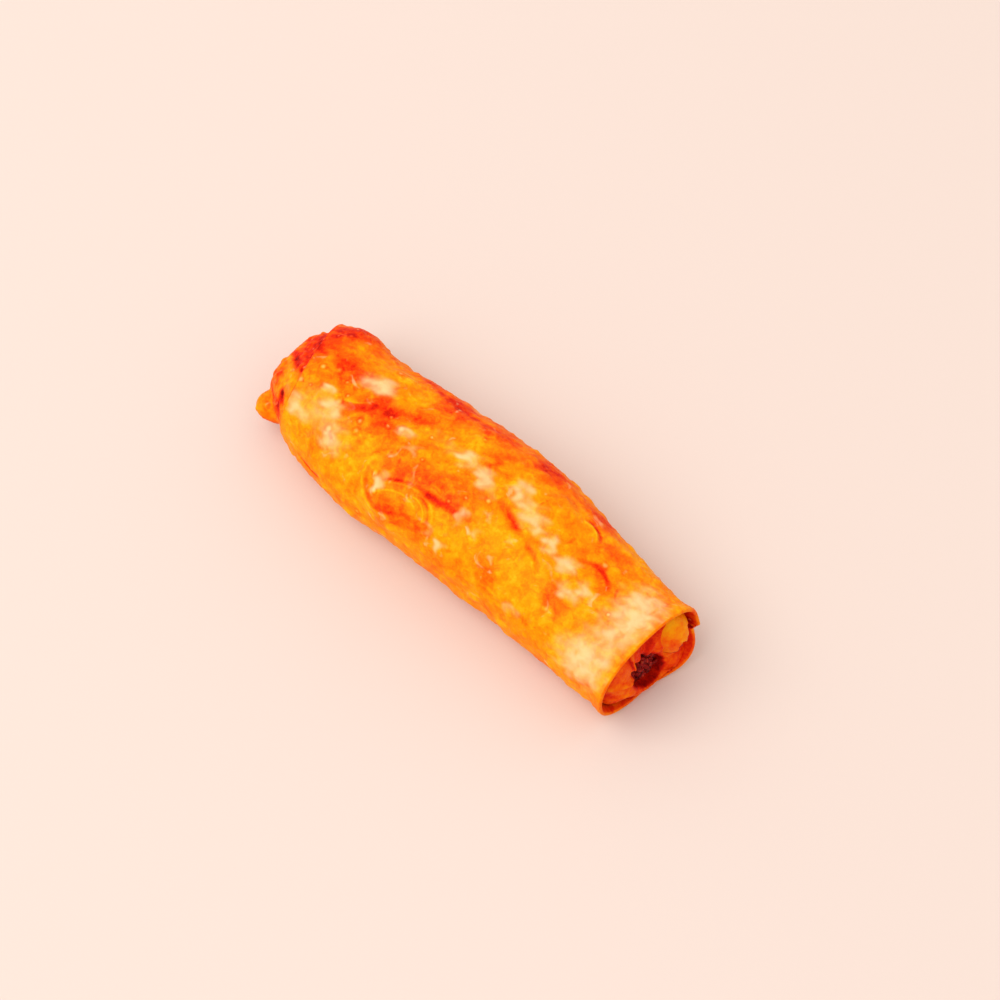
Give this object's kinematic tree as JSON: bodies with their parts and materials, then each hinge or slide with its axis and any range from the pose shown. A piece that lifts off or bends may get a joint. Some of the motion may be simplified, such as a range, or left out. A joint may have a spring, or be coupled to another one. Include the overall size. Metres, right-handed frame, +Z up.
{
  "type": "fried spring roll",
  "caption": "Deep-fried spring roll: a pastry sheet rolled up round a savoury filling, with its sides tucked in, closed at the tucked end and open where the filling shows.",
  "frame": {"origin": "middle of the roll's bounding box, at the height of the table it lies on", "axes": "+X along the roll towards the open end where the filling shows, +Z up from the table, +Y across the roll to the side with the sheet's free corner"},
  "size_m": [0.1332, 0.0446, 0.0329],
  "materials": {
    "fried_pastry": "fried wheat pastry: golden, mottled pale and orange-brown, blistered, with a slight oily sheen",
    "dark_filling": "cooked, browned vegetable filling: dark maroon, lumpy, moist"
  },
  "bodies": {
    "root": {"wrapper": "fried_pastry", "filling": "dark_filling"}
  },
  "joints": []
}
